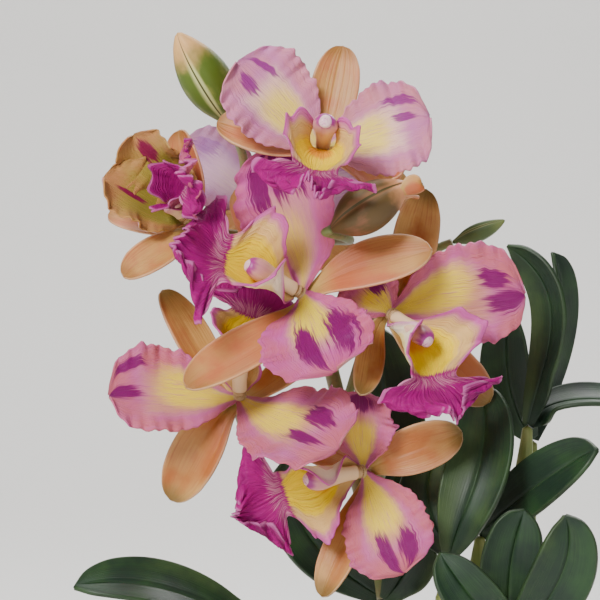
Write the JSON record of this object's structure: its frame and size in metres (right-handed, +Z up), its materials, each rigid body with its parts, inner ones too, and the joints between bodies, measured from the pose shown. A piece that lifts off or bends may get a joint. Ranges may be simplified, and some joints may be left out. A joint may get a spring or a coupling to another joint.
{
  "type": "potted orchid",
  "caption": "Cattleya orchid in a round clay pot: a dense upright spray of ruffled blooms and buds on a flower stem, above strap leaves on jointed canes in bark",
  "frame": {"origin": "middle of the pot's flat underside, on the surface it stands on", "axes": "+Z up along the pot's axis, -Y towards the viewer that the spray faces, +X to the viewer's right"},
  "size_m": [0.2477, 0.1429, 0.4184],
  "materials": {
    "sepal": "satin",
    "petal": "satin",
    "lip": "satin",
    "column": "satin",
    "bud": "satin",
    "stem": "satin",
    "cane": "satin",
    "leaf": "satin",
    "root": "matt",
    "bark": "matt",
    "clay": "matt"
  },
  "bodies": {
    "root": {"bloom_top_sepals": "sepal", "bloom_top_petals": "petal", "bloom_top_lip": "lip", "bloom_top_column": "column", "bloom_left_sepals": "sepal", "bloom_left_petals": "petal", "bloom_left_lip": "lip", "bloom_left_column": "column", "bloom_centre_sepals": "sepal", "bloom_centre_petals": "petal", "bloom_centre_lip": "lip", "bloom_centre_column": "column", "bloom_right_sepals": "sepal", "bloom_right_petals": "petal", "bloom_right_lip": "lip", "bloom_right_column": "column", "bloom_low_left_sepals": "sepal", "bloom_low_left_petals": "petal", "bloom_low_left_lip": "lip", "bloom_low_left_column": "column", "bloom_bottom_sepals": "sepal", "bloom_bottom_petals": "petal", "bloom_bottom_lip": "lip", "bloom_bottom_column": "column", "bloom_back_sepals": "sepal", "bloom_back_petals": "petal", "bloom_back_lip": "lip", "bloom_back_column": "column", "bud_green": "bud", "bud_opening": "bud", "bud_young": "bud", "flower_stem": "stem", "cane_right": "cane", "cane_far_right": "cane", "cane_middle": "cane", "cane_inner": "cane", "cane_flowering": "cane", "cane_left": "cane", "cane_front": "cane", "leaf_tall": "leaf", "leaf_level": "leaf", "leaf_far": "leaf", "leaf_shade": "leaf", "leaf_middle": "leaf", "leaf_inner": "leaf", "leaf_right": "leaf", "leaf_low": "leaf", "leaf_under": "leaf", "leaf_behind": "leaf", "leaf_left": "leaf", "leaf_blunt": "leaf", "leaf_pale": "leaf", "leaf_corner": "leaf", "rhizome": "cane", "root_left": "root", "root_front": "root", "root_over": "root", "bark": "bark", "pot": "clay"}
  },
  "joints": []
}
